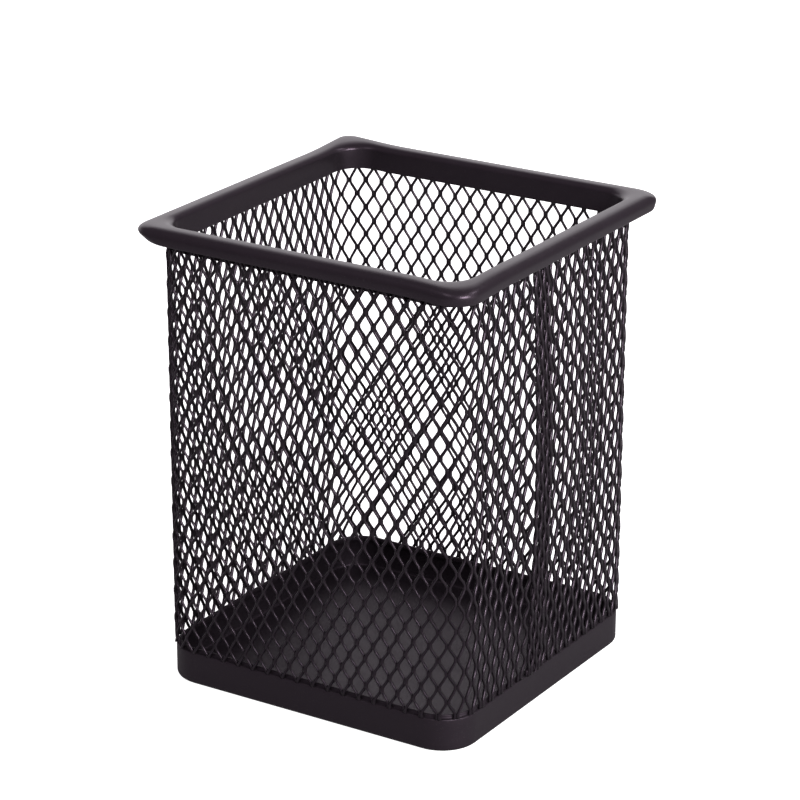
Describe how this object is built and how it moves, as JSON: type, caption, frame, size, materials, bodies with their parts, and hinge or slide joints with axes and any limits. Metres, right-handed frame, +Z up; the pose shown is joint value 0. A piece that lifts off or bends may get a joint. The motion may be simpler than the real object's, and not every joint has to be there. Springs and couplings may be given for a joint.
{
  "type": "pen holder cup",
  "caption": "Square open-topped desk cup for pens: expanded-metal mesh wall between a hollow pressed rim and a shallow drawn base pan.",
  "frame": {"origin": "centre of the square footprint, on the surface the cup stands on", "axes": "+Z up through the open mouth; +X out through the wall that carries the mesh's lapped seam; +Y to the wall on the left when that seam wall is seen from the inside"},
  "size_m": [0.079, 0.079, 0.1],
  "materials": {
    "black_powder_coat_rim": "satin",
    "black_powder_coat_mesh": "satin",
    "black_powder_coat_pan": "satin"
  },
  "bodies": {
    "root": {"rim": "black_powder_coat_rim", "mesh_wall": "black_powder_coat_mesh", "base_pan": "black_powder_coat_pan"}
  },
  "joints": []
}
